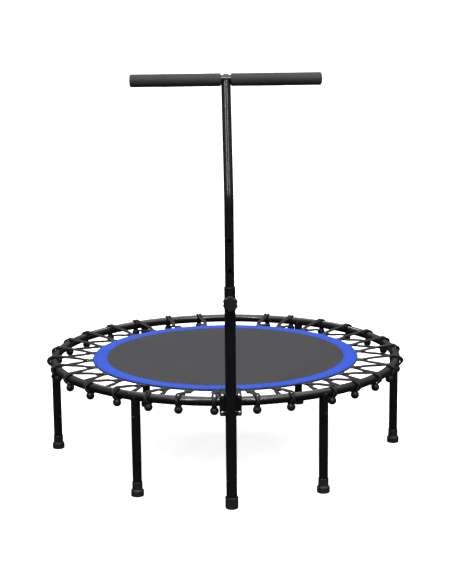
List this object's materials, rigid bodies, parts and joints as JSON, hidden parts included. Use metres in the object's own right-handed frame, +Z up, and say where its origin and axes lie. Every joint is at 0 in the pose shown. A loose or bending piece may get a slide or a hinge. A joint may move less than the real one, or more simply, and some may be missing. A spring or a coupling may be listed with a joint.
{
  "type": "mini trampoline",
  "caption": "Round fitness trampoline on six legs with a bungee-hung jumping mat and a clamped, height-adjustable T handlebar.",
  "frame": {"origin": "on the floor, at the centre of the footprint box", "axes": "+Z up; -Y towards the side that carries the mast and T handle, where the user holds on; +X to the right seen from that side"},
  "size_m": [1.0304, 1.1056, 1.1151],
  "materials": {
    "powder_coated_tube": "gloss",
    "plated_hardware": "polished",
    "black_hardware": "satin",
    "rubber_foot": "matte",
    "moulded_plastic": "satin",
    "foam_grip": "matte foam",
    "woven_mat": "woven",
    "blue_band": "woven",
    "black_webbing": "woven",
    "bungee_cord": "braided"
  },
  "bodies": {
    "frame": {"bungee_balls": "moulded_plastic", "bungee_cords": "bungee_cord", "clamp_bolts": "plated_hardware", "clamp_front_plate": "powder_coated_tube", "clamp_nuts": "plated_hardware", "clamp_rear_plate": "powder_coated_tube", "foot_1": "rubber_foot", "foot_2": "rubber_foot", "foot_3": "rubber_foot", "foot_4": "rubber_foot", "foot_5": "rubber_foot", "foot_6": "rubber_foot", "leg_1": "powder_coated_tube", "leg_2": "powder_coated_tube", "leg_3": "powder_coated_tube", "leg_4": "powder_coated_tube", "leg_5": "powder_coated_tube", "leg_6": "powder_coated_tube", "leg_screws": "black_hardware", "leg_sockets": "powder_coated_tube", "mast_bushing": "moulded_plastic", "mast_foot": "rubber_foot", "mast_tube": "powder_coated_tube", "pin_boss": "powder_coated_tube", "ring_joint_buttons": "black_hardware", "ring_segment_1": "powder_coated_tube", "ring_segment_2": "powder_coated_tube", "ring_segment_3": "powder_coated_tube", "ring_segment_4": "powder_coated_tube", "ring_segment_5": "powder_coated_tube", "ring_segment_6": "powder_coated_tube"},
    "mat": {"mat_sheet": "woven_mat", "edge_band": "blue_band", "mat_hem": "black_webbing", "mat_tabs": "black_webbing"},
    "handle": {"stem_tube": "powder_coated_tube", "stem_end_plug": "moulded_plastic", "crossbar": "powder_coated_tube", "handlebar_bolt": "plated_hardware", "handlebar_anchor_nut": "black_hardware", "grip_right": "foam_grip", "grip_left": "foam_grip", "end_cap_right": "moulded_plastic", "end_cap_left": "moulded_plastic"},
    "lock": {"knob": "moulded_plastic", "lock_pin": "plated_hardware"}
  },
  "joints": [
    {"name": "handle_slide", "type": "slide", "parent": "frame", "child": "handle", "axis": [0, 0, 1], "range_m": [-0.154, 0]},
    {"name": "lock_pin_slide", "type": "slide", "parent": "frame", "child": "lock", "axis": [0, 1, 0], "range_m": [0, 0.007]},
    {"name": "mat_bounce", "type": "slide", "parent": "frame", "child": "mat", "axis": [0, 0, -1], "range_m": [0, 0.1], "stiffness_N_per_m": 6000, "deforming": ["bungee_cords"]}
  ]
}
